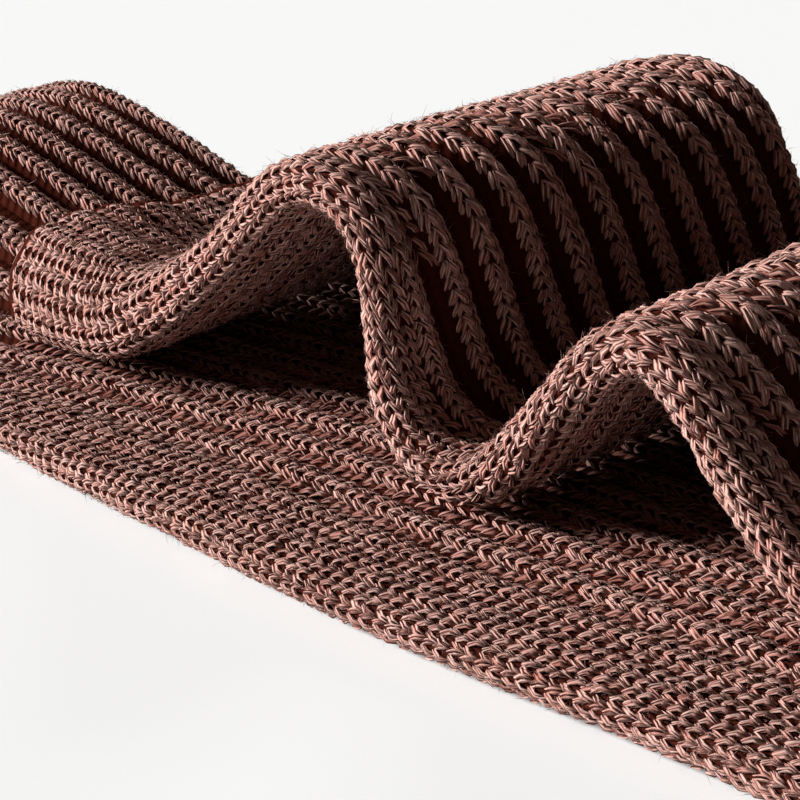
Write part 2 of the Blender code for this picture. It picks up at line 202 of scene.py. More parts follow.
# Ribs that are pulled open: half their width, as a share of the distance between ribs, and how
# far from the near fold they start to open and over what width
Opening = namedtuple("Opening", "half start blend")
LOWER_OPENING = Opening(half=0.27, start=9.0, blend=6.0)
UPPER_OPENING = Opening(half=0.23, start=4.5, blend=3.0)

# Each sock is a little twisted on itself: how far its ribs have moved round it, in mm, at each
# distance from the cuff
TwistRow = namedtuple("TwistRow", "length moved")
LOWER_TWIST = (
    TwistRow(0.0, 0.0),
    TwistRow(60.0, 0.0),
    TwistRow(75.0, 1.2),
    TwistRow(125.0, 8.8),
    TwistRow(145.0, 10.0),
    TwistRow(240.0, 10.0),
)
UPPER_TWIST = (
    TwistRow(0.0, 0.0),
    TwistRow(55.0, 0.0),
    TwistRow(75.0, 3.0),
    TwistRow(145.0, 21.0),
    TwistRow(170.0, 23.5),
    TwistRow(190.0, 24.0),
    TwistRow(240.0, 24.0),
)

# A yarn leg, in widths of its column and heights of its row: where it starts, how far it reaches
# down, how far beside the column's middle it starts and ends, and how soon it gets there
LEG_BASE = -0.2
LEG_REACH = 1.42
LEG_IN = 0.03
LEG_OUT = 0.42
LEG_SWEEP = 1.25
LEG_RADIUS = 0.38  # mm
LEG_LOW = -0.7  # mm below the tops of the stitches
LEG_BOW = 0.4  # mm higher in the middle
ROW_START = 0.6  # from the cuff to the first row
ROW_STRAY = 0.06  # how far legs differ, here and in the next four lines
WIDTH_STRAY = 0.04
RADIUS_STRAY = 0.08
LIFT_STRAY = 0.05
REACH_STRAY = 0.06
COLUMN_PHASE = 0.1  # how far the rows of two columns differ
THREE_COLUMNS = 4.3  # distance between ribs above which a plain stretch has three columns
TWO_COLUMNS = 2.6
TOE_CLEAR = 2.0  # stitches and fibres end this far from the tip of the toe

# Inner wall: every other section, up to where the toe gets narrow, and a round rim at the cuff
INNER_EVERY = 2
INNER_END = 5.8
INNER_SHORT = 2
RIM_ROUND = 0.7
RIM_PARTS = (0.08, 0.25, 0.5, 0.75, 0.92)
RIM_ROWS = np.array([0.25, 0.5, 1.0, 1.5, 1.75])  # knit rows that the rim takes up

# A leg that is seen close is made of separate strands that lie side by side, in mm
STRANDS = 2
STRAND_STEP = 0.37
STRAND_DROP = 0.1  # lower for each step from the leg's middle
STRAND_SLANT = 0.2  # how far a strand moves across its leg
STRAND_RADIUS = 0.26
STRAND_STRAY = 0.04
STRAND_RADIUS_STRAY = 0.12
STRAND_REACH_STRAY = 0.05
STRAND_SHADE_STRAY = 0.3

# Sides and rings of one strand and of one plain leg
STRAND_SHAPE = (3, 4)
LEG_SHAPE = (3, 3)
PIECE_TRIANGLES = 190000  # most in one piece

# What counts as seen close: in the photograph's frame and not turned far from its camera
SEEN_MARGIN = 1.03
SEEN_FACING = -0.2
SEEN_ABOVE = 2.5  # mm above the cloth from which the camera must be in sight

# Stray fibres, in mm
HAIR_SHAPE = (3, 3)
HAIR_LENGTH = 1.0
HAIR_RADIUS = 0.016
HAIR_STEEP = (0.2, 1.1)  # angle to the cloth, in radians
NAP_LENGTH = 0.8
NAP_RADIUS = 0.03
NAP_STEEP = (0.0, 0.8)
NAP_PER_HAIR = 9
FIBRE_TRIES = 12  # places tried for each fibre that is wanted
FIBRE_START = 0.5  # from the cuff to the first fibre
FIBRE_STITCHED = 0.9  # how fully stitched the cloth is under a fibre
FIBRE_UNSEEN = 0.12  # share of the fibres that are kept out of the camera's sight
FIBRE_ROOT = 0.15  # how deep fibres start in the yarn
FIBRE_EVEN = 4.0  # how alike in length they are
FIBRE_CURL = 0.6
FIBRE_DROOP = 0.5  # how far a curled fibre bends down, as a share of its curl

# Names of the knit's coordinates, in columns and rows, and of the shade of each point
UV_LAYER = "knit"
SHADE_LAYER = "shade"

# Look of the yarn: its plies, how far they twist along a leg, and how light the painted shade
# in the grooves between them is
Yarn = namedtuple("Yarn", "plies twist gap")
LEG_YARN = Yarn(plies=3.0, twist=1.3, gap=0.5)
STRAND_YARN = Yarn(plies=2.0, twist=0.8, gap=0.62)
PLY_ROUND = 0.7  # lower is a broader painted highlight on the top of each ply
PAINTED_PLY_HIGHLIGHT = 1.2  # how light that painted highlight is
FIBRES_ACROSS = 4.5
FIBRES_ALONG = 2.0
FIBRES_APART = 57.0  # each leg has its own pattern of fibres
FIBRE_CONTRAST = 4.0
FIBRE_HEIGHT = 0.35
PATCH_SCALE = 55.0  # patches of lighter and darker cloth, in each metre
PATCH_CONTRAST = 0.9
VARIATION = 0.32  # how far stitches differ in brightness
GAIN_RANGE = (0.08, 1.22)  # least and most brightness, where 1 is the plain wool's
PAINTED_SHADE_TINT = (1.12, 0.64, 0.55)  # painted shade: wool is coloured redder where it is less bright, as it looks in shade
PAINTED_HIGHLIGHT_TINT = (0.86, 1.05, 1.12)  # painted highlight: and greyer where it is brighter, as it looks in highlight
TINT_START = 0.35  # brightness at which the painted shade tint starts to turn to the painted highlight tint
TINT_BLEND = 0.85
ROUGHNESS = 0.7
FIBRE_ROUGHNESS = 0.2
SPECULAR = 0.15
SHEEN_ROUGHNESS = 0.5
SHEEN_TINT = (1.0, 0.82, 0.74, 1.0)
BUMP_HEIGHT = 0.0003  # m

# Look of the cloth that the stitches lie on, with loops and fuzz of its own
PAINTED_UNDER_SHADE = (0.081, 0.036, 0.027)  # painted shade under its stitches
BARE_TINT = (0.6, 0.72, 0.77)  # where it is seen plain, at the rim and inside
LOOP_SLANT = -1.4
LOOP_HEIGHT = 0.3
FUZZ_SCALE = 2600.0
FUZZ_DETAIL = 3.0
FUZZ_HEIGHT = 0.6
CLOTH_BUMP = 0.8
CLOTH_TONE = 0.6
LOOP_TONE = 0.25
FUZZ_TONE = 0.35
CLOTH_ROUGHNESS = 0.95

# Stage, in metres and degrees, and in millimetres for the lens and the sensor
FLOOR_SIZE = 6.0
FLOOR_DROP = 0.0004
FLOOR_COLOUR = (0.832, 0.846, 0.846, 1.0)
FLOOR_ROUGHNESS = 0.9
FILL_COLOUR = (1.0, 0.74, 0.64, 1.0)  # warm, as light from a room is
KEY_FROM = (-0.735, -0.575, 0.355)
KEY_SPREAD = 20.0
RIM_FROM = (-0.3, 0.83, 0.47)
RIM_SPREAD = 20.0
CAMERA_PLACE = (0.11042, -0.25566, 0.11218)
CAMERA_LENS = 109.9
CAMERA_SENSOR = 36.0
CAMERA_CLIP = 0.01
CAMERA_AZIMUTH = 46.5
CAMERA_DOWN = 22.61
CAMERA_ROLL = -1.94

Section = namedtuple(
    "Section",
    "centre up near near_thick far_thick open side far lift lean droop puff rest instep heel",
    defaults=(ACROSS, FLAT_WIDTH / 2, 0.0, 0.0, 0.0, 0.0, 1.0, 1.0, 1.0),
)


def smoothstep(value):
    """0 below 0, 1 above 1 and a soft S between."""
    value = np.clip(value, 0.0, 1.0)
    return value * value * (3.0 - 2.0 * value)


def unit(vectors):
    """The vectors made 1 long."""
    return vectors / np.maximum(np.linalg.norm(vectors, axis=-1, keepdims=True), 1e-9)


def pick(rows, chosen):
    """Named columns of numbers, cut down to the chosen rows."""
    return type(rows)(*[values[chosen] for values in rows])


def joined(parts):
    """Several sets of named columns, one after another."""
    return type(parts[0])(*[np.concatenate(values) for values in zip(*parts)])


def smooth_rows(rows):
    """A dense Catmull-Rom curve through the rows, all columns at once."""
    points = np.array(rows, dtype=float)
    points = np.vstack([2 * points[0] - points[1], points, 2 * points[-1] - points[-2]])
    spans = []
    for start in range(1, len(points) - 2):
        before, first, last, after = points[start - 1 : start + 3]
        share = np.linspace(0.0, 1.0, CURVE_SAMPLES, endpoint=False)[:, None]
        spans.append(
            0.5
            * (
                2 * first
                + (last - before) * share
                + (2 * before - 5 * first + 4 * last - after) * share**2
                + (3 * first - before - 3 * last + after) * share**3
            )
        )
    return np.vstack(spans + [points[-2:-1]])


def along(points):
    """The length of a line up to each of its points."""
    steps = np.linalg.norm(np.diff(points, axis=0), axis=1)
    return np.concatenate([[0.0], np.cumsum(steps)])


def resample(curve, lengths, stops):
    """The curve's columns at the given lengths."""
    return np.array([np.interp(stops, lengths, column) for column in curve.T]).T


def even_stops(start, end, step):
    """Lengths from start to end in equal steps of about the given size."""
    count = max(1, round((end - start) / step))
    return np.linspace(start, end, count + 1)


def lower_leg():
    """Sections of the flat sock's leg."""
    curve = smooth_rows(LOWER_LEG)
    stops = even_stops(LOWER_LEG[0].x, LOWER_LEG[-1].x, SECTION_STEP)
    return [
        Section(
            centre=np.array([x, LOWER_NEAR + FLAT_WIDTH / 2, LOWER_THICK / 2]),
            up=UPWARD,
            near=FLAT_WIDTH / 2 - near_edge,
            near_thick=LOWER_THICK,
            far_thick=LOWER_THICK,
            open=opened,
            lift=max(0.0, lift),
        )
        for x, lift, near_edge, opened in resample(curve, curve[:, 0], stops)
    ]


def upper_leg():
    """Sections of the waved sock's leg, each square to the wave's own line."""
    curve = smooth_rows(UPPER_LEG)
    lengths = along(curve[:, :2])
    stops = even_stops(0.0, lengths[-1], SECTION_STEP)
    rows = resample(curve, lengths, stops)
    ahead = resample(curve, lengths, np.minimum(stops + SLOPE_REACH, lengths[-1]))
    behind = resample(curve, lengths, np.maximum(stops - SLOPE_REACH, 0.0))
    sections = []
    for values, after, before in zip(rows, ahead, behind):
        row = UpperRow(*values)
        run = after[0] - before[0]
        rise = after[1] - before[1]
        slope = hypot(run, rise)
        sections.append(
            Section(
                centre=np.array([row.x, UPPER_NEAR + FLAT_WIDTH / 2, row.z]),
                up=np.array([-rise / slope, 0.0, run / slope]),
                near=FLAT_WIDTH / 2 + row.near_edge,
                near_thick=row.near_thick,
                far_thick=row.far_thick,
                open=row.open,
                lift=max(0.0, row.lift),
                lean=row.lean,
                droop=row.droop,
                puff=max(0.0, row.puff),
                rest=min(1.0, max(0.0, row.rest)),
            )
        )
    sections[-1] = sections[-1]._replace(up=UPWARD, lean=0.0, droop=0.0)
    return sections + straight_on(sections[-1], LEG_LENGTH - lengths[-1])


def straight_on(last, length):
    """Sections that carry the last one on along the floor, without the last itself."""
    forward = np.cross(last.side, last.up)
    return [
        last._replace(centre=last.centre + forward * stop)
        for stop in even_stops(0.0, length, REST_STEP)[1:]
    ]


def heel_turn(last, angle):
    """Sections that fan round the instep, widest at the heel's corner."""
    pivot = last.centre + last.side * TURN_RADIUS
    shares = even_stops(0.0, 1.0, REST_STEP / (radians(angle) * TURN_RADIUS))[1:]
    sections = []
    for share in shares:
        turn = radians(angle) * share
        side = np.array([-sin(turn), cos(turn), 0.0])
        sections.append(
            last._replace(
                centre=pivot - side * TURN_RADIUS,
                side=side,
                near=last.near + HEEL_BULGE * sin(pi * share) ** HEEL_POWER,
                heel=1.0 - float(smoothstep(share / SOLE_START)),
            )
        )
    return sections


def foot(last):
    """Sections from the heel to the toe, without the heel's last one."""
    curve = smooth_rows(FOOT)
    forward = np.cross(last.side, last.up)
    stops = even_stops(0.0, FOOT[-1].length, REST_STEP)[1:]
    return [
        last._replace(centre=last.centre + forward * length, near=sole, far=instep)
        for length, sole, instep in resample(curve, curve[:, 0], stops)
    ]


def toe(last):
    """Sections that narrow to the blunt tip, where the cloth's two layers close."""
    forward = np.cross(last.side, last.up)
    sections = []
    for stop in even_stops(0.0, 1.0, SECTION_STEP / TOE_LENGTH)[1:]:
        width = (1.0 - (1.0 - TOE_TIP**TOE_POWER) * stop**TOE_POWER) ** (1.0 / TOE_POWER)
        sections.append(
            last._replace(
                centre=last.centre + forward * TOE_LENGTH * stop,
                near=last.near * width,
                far=last.far * width,
                instep=1.0 - float(smoothstep(stop / TOE_PLAIN)),
                heel=0.0,
            )
        )
    return sections


def whole_sock(sections, angle):
    """The leg's sections with heel, foot and toe added."""
    sections = sections + heel_turn(sections[-1], angle)
    sections += foot(sections[-1])
    return sections + toe(sections[-1])


def flattened_ring(near, far, near_radius, far_radius, puff, shares):
    """Points of the flattened rings, in side and up, one row for each section.

    The share runs from the middle of the near fold over the top to the far fold and back
    below. Every length is a column, one for each section.
    """
    puff = np.where(shares > 0.5, 0.0, puff)
    near_high = near_radius + puff
    near_radius = near_radius + puff * PUFF_ROUND
    straight = near + far - near_radius - far_radius
    half = pi * (near_radius + far_radius) / 2 + straight
    travel = half * 2 * np.minimum(shares, 1.0 - shares)
    near_arc = pi * near_radius / 2
    near_angle = travel / near_radius
    run = travel - near_arc
    far_angle = (half - travel) / far_radius
    blend = smoothstep(run / FOLD_BLEND)
    on_near = travel < near_arc
    on_far = travel > near_arc + straight
    across = np.where(on_near, -near + near_radius * (1.0 - np.cos(near_angle)), run)
    across = np.where(on_near | on_far, across, -near + near_radius + run)
    across = np.where(on_far, far - far_radius * (1.0 - np.cos(far_angle)), across)
    high = np.where(on_near, near_high * np.sin(near_angle), 0.0)
    high = np.where(on_near | on_far, high, near_high + (far_radius - near_high) * blend)
    high = np.where(on_far, far_radius * np.sin(far_angle), high)
    return across, np.where(shares > 0.5, -high, high), 2 * half.mean(axis=1)


def outside(outline, points):
    """How far each point lies outside a closed outline, and 0 for points inside it."""
    starts = outline
    edges = np.roll(outline, -1, axis=0) - starts
    toward = points[:, None, :] - starts[None, :, :]
    share = np.einsum("pek,ek->pe", toward, edges) / np.einsum("ek,ek->e", edges, edges)
    nearest = starts + np.clip(share, 0.0, 1.0)[:, :, None] * edges
    distance = np.linalg.norm(points[:, None, :] - nearest, axis=2).min(axis=1)
    ends = np.roll(starts, -1, axis=0)
    straddles = (starts[None, :, 1] > points[:, 1:2]) != (ends[None, :, 1] > points[:, 1:2])
    rise = np.where(edges[:, 1] == 0.0, 1.0, edges[:, 1])
    crossing = starts[:, 0] + (points[:, 1:2] - starts[:, 1]) * edges[:, 0] / rise
    inside = (straddles & (points[:, 0:1] < crossing)).sum(axis=1) % 2 == 1
    return np.where(inside, 0.0, distance)


def column(sections, name):
    """One of the sections' values, as a column."""
    return np.array([getattr(section, name) for section in sections])[:, None]


def plan_outline(sections, margin):
    """The outline of some sections seen from above, drawn in by a margin."""
    near = [(s.centre - s.side * (s.near - margin))[:2] for s in sections[::2]]
    far = [(s.centre + s.side * (s.far - margin))[:2] for s in sections[::2]]
    return np.array(near + far[::-1])


def cloth_grid(sections, shares, inset, under):
    """The points of every section's ring, in the layout, and the length round each ring."""
    across, high, around = flattened_ring(
        column(sections, "near") - inset,
        column(sections, "far") - inset,
        column(sections, "near_thick") / 2 - inset,
        column(sections, "far_thick") / 2 - inset,
        column(sections, "puff"),
        np.asarray(shares)[None, :],
    )
    centre, side, up = [column(sections, name) for name in ("centre", "side", "up")]
    grid = centre + side * across[:, :, None] + up * high[:, :, None]
    leaning = smoothstep((grid[:, :, 1] - LEAN_START) / LEAN_BLEND)
    lifting = smoothstep((grid[:, :, 1] - LIFT_START) / LIFT_BLEND)
    grid[:, :, 0] += column(sections, "lean") * leaning
    grid[:, :, 2] += column(sections, "lift") * lifting - column(sections, "droop") * leaning
    if under is not None:
        resting = column(sections, "rest")[:, 0] > 0.0
        flat = grid[resting]
        past = outside(under, flat[:, :, :2].reshape(-1, 2)).reshape(flat.shape[:2])
        sunk = SINK * smoothstep((past - SINK_START) / SINK_BLEND)
        flat[:, :, 2] -= column(sections, "rest")[resting] * sunk
        grid[resting] = flat
    return grid, around


def outward(grid):
    """The unit normals of a grid of points whose rings are closed."""
    down = np.gradient(grid, axis=0)
    round_it = np.roll(grid, -1, axis=1) - np.roll(grid, 1, axis=1)
    return unit(np.cross(down, round_it))


class Cloth:
    """A sock's outer surface, which can be asked for any place on it.

    A place is a length down the sock, in mm from the cuff, and a share of the way round.
    """

    def __init__(self, sections, under, course, twist, opening, seed):
        self.sections = sections
        self.under = under
        self.course = course
        self.opening = opening
        self.points_round = RIBS * POINTS_PER_RIB
        shares = np.arange(self.points_round) / self.points_round
        self.grid, self.around = cloth_grid(sections, shares, 0.0, under)
        self.normals = outward(self.grid)
        self.lengths = along(np.array([section.centre for section in sections]))
        curve = smooth_rows(twist)
        self.moved = np.interp(self.lengths, curve[:, 0], curve[:, 1]) / self.around
        self.rib_noise = np.random.default_rng(seed).normal(0.0, OPEN_NOISE, RIBS)
        self.lift, self.rest, self.open, self.instep, self.heel = [
            column(sections, name)[:, 0] for name in ("lift", "rest", "open", "instep", "heel")
        ]
        self.climb = np.gradient(self.lift, self.lengths)

    def at(self, values, lengths):
        """One of the sections' numbers at the given lengths."""
        return np.interp(lengths, self.lengths, values)

    def pitch(self, lengths):
        """The distance between ribs."""
        return self.at(self.around, lengths) / RIBS

    def place(self, lengths, shares):
        """Points and normals of the plain surface."""
        rows = np.interp(lengths, self.lengths, np.arange(len(self.lengths)))
        row = np.minimum(rows.astype(int), len(self.lengths) - 2)
        down = (rows - row)[..., None]
        columns = np.mod(shares, 1.0) * self.points_round
        left = columns.astype(int) % self.points_round
        right = (left + 1) % self.points_round
        over = (columns - np.floor(columns))[..., None]
        results = []
        for values in (self.grid, self.normals):
            first = values[row, left] * (1 - over) + values[row, right] * over
            last = values[row + 1, left] * (1 - over) + values[row + 1, right] * over
            results.append(first * (1 - down) + last * down)
        return results

    def rib(self, lengths, shares):
        """The number of the rib at a place, and how far off its middle line that is, in ribs."""
        place = np.mod(shares - self.at(self.moved, lengths), 1.0) * RIBS
        number = np.minimum(place.astype(int), RIBS - 1)
        return number, place - number - 0.5

    def kept(self, lengths, shares):
        """How much of the ribs is kept: all on leg and instep, none on heel, sole and toe."""
        near_half = np.cos(2 * pi * shares) > 0.0
        return np.where(near_half, self.at(self.heel, lengths), self.at(self.instep, lengths))

    def opened(self, lengths, shares):
        """How far the ribs are pulled open, from 0 to 1."""
        folded = np.minimum(np.mod(shares, 1.0), 1.0 - np.mod(shares, 1.0))
        travel = folded * self.at(self.around, lengths)
        rib, _ = self.rib(lengths, shares)
        far_enough = smoothstep((travel - self.opening.start) / self.opening.blend)
        opened = self.at(self.open, lengths) * far_enough + self.rib_noise[rib]
        return np.clip(opened, 0.0, 1.0)

    def half_width(self, opened):
        """Half the width of a rib, as a share of the distance between ribs."""
        return CLOSED_HALF + (self.opening.half - CLOSED_HALF) * opened

    def stitched(self, lengths, shares):
        """1 where stitches show, and 0 on an underside that rests on the floor or a sock."""
        shares = np.mod(shares, 1.0)
        around = self.at(self.around, lengths)
        under = np.minimum(shares - 0.5, 1.0 - shares) * around
        hidden = smoothstep((under - UNDER_FADE) / UNDER_FADE)
        return 1.0 - hidden * smoothstep(self.at(self.rest, lengths) / REST_FULL)

    def level(self, lengths, shares):
        """1 where the cloth lies level, and less on the slopes up to its lifted far side."""
        points, _ = self.place(lengths, shares)
        way = np.clip((points[..., 1] - LIFT_START) / LIFT_BLEND, 0.0, 1.0)
        # 6 * way * (1 - way) is how fast smoothstep rises
        across = self.at(self.lift, lengths) * 6 * way * (1.0 - way) / LIFT_BLEND
        down = self.at(self.climb, lengths) * smoothstep(way)
        return 1.0 / np.sqrt(1.0 + across**2 + down**2)

    def top(self, lengths, shares, opened):
        """How far the tops of the stitches lie below the sock's outside, in mm."""
        _, off = self.rib(lengths, shares)
        off = np.abs(off)
        half = self.half_width(opened)
        crown = CLOSED_CROWN + (OPEN_CROWN - CLOSED_CROWN) * opened
        crown = crown * np.minimum(off / half, CROWN_REACH) ** 2
        depth = CLOSED_DEPTH + (OPEN_DEPTH - CLOSED_DEPTH) * opened
        recess = smoothstep((off - half) / ((0.5 - half) * RECESS_WALL))
        small = np.minimum(self.pitch(lengths) / (FLAT_WIDTH * 2 / RIBS), 1.0)
        low = (crown + np.maximum(depth - crown, 0.0) * recess) * self.kept(lengths, shares)
        return low * small * self.level(lengths, shares) ** SLOPE_FALL

    def relief(self, lengths, shares):
        """How far the cloth lies below the sock's outside, in mm."""
        top = self.top(lengths, shares, self.opened(lengths, shares))
        return (SHELL_INSET + top) * self.stitched(lengths, shares)

    def surface(self, lengths, shares, above):
        """Points that far above the sock's plain outside, in metres in the object's own frame."""
        points, normals = self.place(lengths, shares)
        return to_object_frame(points + normals * above[..., None])


def to_object_frame(points):
    """Layout millimetres as metres in the object's own frame."""
    middle = np.array([LAYOUT_MIDDLE[0], LAYOUT_MIDDLE[1], 0.0])
    return (points - middle) * MM


@lru_cache
def lower_cloth():
    """The flat sock's surface, made once."""
    sections = whole_sock(lower_leg(), LOWER_TURN)
    return Cloth(sections, None, LOWER_COURSE, LOWER_TWIST, LOWER_OPENING, SEED)


@lru_cache
def upper_cloth():
    """The waved sock's surface, made once."""
    outline = plan_outline(lower_cloth().sections, 0.0)
    sections = whole_sock(upper_leg(), UPPER_TURN)
    return Cloth(sections, outline, UPPER_COURSE, UPPER_TWIST, UPPER_OPENING, SEED + 1)


# Making meshes


def new_piece(mesh, material, node=None):
    """A mesh as a piece of its name, at the origin, that rides on the one body."""
    mesh.materials.append(material)
    piece = bpy.data.objects.new(mesh.name, mesh)
    bpy.context.scene.collection.objects.link(piece)
    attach(piece, "root")
    if node:
        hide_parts(node)


def finish_mesh(mesh, uvs, shades):
    """Shade a mesh smooth, and give it its knit coordinates and the shade of each point."""
    mesh.polygons.foreach_set("use_smooth", np.ones(len(mesh.polygons), dtype=bool))
    layer = mesh.uv_layers.new(name=UV_LAYER)
    layer.data.foreach_set("uv", uvs.reshape(-1))
    attribute = mesh.attributes.new(SHADE_LAYER, "FLOAT", "POINT")
    attribute.data.foreach_set("value", shades)
    mesh.update(calc_edges=True)
    return mesh


def numbers_of(items, name, kind, each=1):
    """One kind of number from each of a mesh's points, corners or faces."""
    found = np.empty(len(items) * each, dtype=kind)
    items.foreach_get(name, found)
    return found


def deselect():
    """Leave nothing selected before a primitive is added."""
    bpy.ops.object.select_all(action="DESELECT")


Model = namedtuple("Model", "points corners turned starts sizes uvs")


def take_model():
    """The selected primitive's points and faces, once more with its faces turned round."""
    made = bpy.context.active_object
    mesh = made.data
    points = numbers_of(mesh.vertices, "co", float, 3).reshape(-1, 3)
    corners = numbers_of(mesh.loops, "vertex_index", int)
    uvs = numbers_of(mesh.uv_layers.active.data, "uv", float, 2).reshape(-1, 2)
    starts = numbers_of(mesh.polygons, "loop_start", int)
    sizes = numbers_of(mesh.polygons, "loop_total", int)
    turned = np.concatenate(
        [np.arange(start, start + size)[::-1] for start, size in zip(starts, sizes)]
    )
    bpy.data.objects.remove(made, do_unlink=True)
    bpy.data.meshes.remove(mesh)
    return Model(points, corners, turned, starts, sizes, uvs)


def ellipsoid_model(segments, rings):
    """A ball of radius 1 whose poles are at its two ends along Z, with a ridge on top."""
    deselect()
    bpy.ops.mesh.primitive_uv_sphere_add(segments=segments, ring_count=rings, radius=1.0)
    bpy.ops.object.mode_set(mode="EDIT")
    bpy.ops.mesh.select_all(action="SELECT")
    bpy.ops.transform.rotate(value=-pi / 2, orient_axis="Z", center_override=(0.0, 0.0, 0.0))
    bpy.ops.object.mode_set(mode="OBJECT")
    return take_model()


def joined_copies(name, model, points, mirrored, shades):
    """One mesh of many copies of a model, each with its own points and its own shade."""
    count, each = points.shape[:2]
    order = np.where(mirrored[:, None], model.turned, np.arange(len(model.corners)))
    corners = model.corners[order] + np.arange(count)[:, None] * each
    starts = model.starts + np.arange(count)[:, None] * len(model.corners)
    mesh = bpy.data.meshes.new(name)
    mesh.vertices.add(count * each)
    mesh.vertices.foreach_set("co", points.reshape(-1))
    mesh.loops.add(corners.size)
    mesh.loops.foreach_set("vertex_index", corners.reshape(-1))
    mesh.polygons.add(starts.size)
    mesh.polygons.foreach_set("loop_start", starts.reshape(-1))
    return finish_mesh(mesh, model.uvs[order], np.repeat(shades, each))


def cloth_mesh(name, cloth):
    """A closed thin wall: ribbed outside, round rim at the cuff, plain inside."""
    shares = np.arange(cloth.points_round) / cloth.points_round
    lengths = cloth.lengths[:, None] * np.ones_like(shares)[None, :]
    wide = shares[None, :] + cloth.moved[:, None]
    outer = cloth.surface(lengths, wide, -cloth.relief(lengths, wide))
    within = [section for section in cloth.sections if section.near > INNER_END][:-INNER_SHORT]
    inner, _ = cloth_grid(within, shares, WALL, cloth.under)
    inner = to_object_frame(inner)[::INNER_EVERY]
    back = -np.cross(cloth.sections[0].side, cloth.sections[0].up) * RIM_ROUND * MM
    rim = [
        outer[0] * (1.0 - part) + inner[0] * part + back * sin(pi * part) for part in RIM_PARTS
    ]
    rings = np.concatenate([outer[::-1], rim, inner])
    rows, columns = rings.shape[:2]
    here = np.arange(rows * columns).reshape(rows, columns)
    after = np.roll(here, -1, axis=1)
    quads = np.stack([here[:-1], after[:-1], after[1:], here[1:]], axis=-1).reshape(-1, 4)
    mesh = bpy.data.meshes.new(name)
    faces = quads.tolist() + [here[0][::-1].tolist(), here[-1].tolist()]
    mesh.from_pydata(rings.reshape(-1, 3).tolist(), [], faces)
    inside = cloth.lengths[: len(within)][::INNER_EVERY]
    places = np.concatenate([cloth.lengths[::-1], -RIM_ROWS * cloth.course, inside])
    corners = numbers_of(mesh.loops, "vertex_index", int)
    stitch_row = np.repeat(places / cloth.course, columns)[corners]
    wale = np.tile(shares * RIBS * 2, rows)[corners]
    seam = np.zeros(len(corners), dtype=bool)
    seam[: quads.size] = np.repeat(quads[:, 0] % columns == columns - 1, 4)
    wale[seam & (wale < RIBS)] += RIBS * 2
    # 0 on the outside, which the ground colours with painted shade, and 1 at the rim and inside
    bare = np.repeat([0.0, 1.0], [len(outer) * columns, (rows - len(outer)) * columns])
    return finish_mesh(mesh, np.stack([wale, stitch_row], axis=1), bare)


# Knit stitches


Legs = namedtuple("Legs", "length share width side radius across lift reach shade")
Columns = namedtuple("Columns", "length share width dark")


def columns_of_stitches(cloth, lengths, seed):
    """Where every stitch's middle line lies, how wide its column is and its painted shade in a
    recess.
    """
    rng = np.random.default_rng(seed)
    pitch = cloth.pitch(lengths)
    moved = cloth.at(cloth.moved, lengths)
    found = []
    for rib in range(RIBS):
        middle = (rib + 0.5) / RIBS + moved
        opened = cloth.opened(lengths, middle)
        half = cloth.half_width(opened)
        ribbed = cloth.kept(lengths, middle) > 0.5
        plain = np.where(pitch > THREE_COLUMNS, 3, np.where(pitch > TWO_COLUMNS, 2, 1))
        same = np.ones_like(half)
        between = ribbed & (opened < RECESS_BARE)
        layouts = [
            (ribbed, -half / 2, half, 0.0 * same),
            (ribbed, half / 2, half, 0.0 * same),
            # painted shade: the column in the recess is coloured less bright as the ribs open
            (between, 0.5 * same, 1.0 - 2.0 * half, opened * RECESS_PAINTED_SHADE),
        ]
        for count in (1, 2, 3):
            for number in range(count):
                off = ((number + 0.5) / count - 0.5) * same
                layouts.append((~ribbed & (plain == count), off, same / count, 0.0 * same))
        for chosen, off, wide, dark in layouts:
            phase = rng.normal(0.0, COLUMN_PHASE) * cloth.course
            places = Columns(lengths + phase, middle + off / RIBS, wide * pitch, dark)
            found.append(pick(places, chosen))
    return joined(found)


def stitch_legs(cloth, seed):
    """Both legs of every stitch that shows."""
    rng = np.random.default_rng(seed)
    end = cloth.lengths[-1] - TOE_CLEAR
    lengths = np.arange(cloth.course * ROW_START, end, cloth.course)
    columns = columns_of_stitches(cloth, lengths, seed)
    shows = cloth.stitched(columns.length, columns.share) > 0.5
    if cloth is lower_cloth():
        shows &= ~covered(cloth, columns.length, columns.share)
    columns = pick(columns, shows)
    count = len(columns.length)
    sides = []
    for side in (-1.0, 1.0):
        sides.append(
            Legs(
                length=columns.length + rng.normal(0.0, ROW_STRAY, count) * cloth.course,
                share=columns.share,
                width=columns.width * rng.normal(1.0, WIDTH_STRAY, count),
                side=np.full(count, side),
                radius=LEG_RADIUS * rng.normal(1.0, RADIUS_STRAY, count),
                across=np.zeros(count),
                lift=rng.normal(0.0, LIFT_STRAY, count),
                reach=rng.normal(1.0, REACH_STRAY, count),
                # random tone, less the painted shade of a recess
                shade=rng.random(count) - columns.dark,
            )
        )
    return joined(sides)


def covered(cloth, length, share):
    """Places on the flat sock's top that the waved sock rests on."""
    resting = [section for section in upper_cloth().sections if section.rest > RESTING]
    outline = plan_outline(resting, COVER_MARGIN)
    points, _ = cloth.place(length, share)
    return (outside(outline, points[:, :2]) == 0.0) & (np.mod(share, 1.0) < 0.5)


def strands_of(legs, seed):
    """The separate strands of each leg, side by side."""
    rng = np.random.default_rng(seed)
    count = len(legs.length)
    made = []
    for number in range(STRANDS):
        off = number - (STRANDS - 1) / 2
        lift = legs.lift - abs(off) * STRAND_DROP
        made.append(
            legs._replace(
                length=legs.length + rng.normal(0.0, STRAND_STRAY, count),
                radius=STRAND_RADIUS * rng.normal(1.0, STRAND_RADIUS_STRAY, count),
                across=off * STRAND_STEP + rng.normal(0.0, STRAND_STRAY, count),
                lift=lift + rng.normal(0.0, STRAND_STRAY, count),
                reach=legs.reach * rng.normal(1.0, STRAND_REACH_STRAY, count),
                shade=legs.shade + rng.uniform(-STRAND_SHADE_STRAY, STRAND_SHADE_STRAY, count),
            )
        )
    return joined(made)


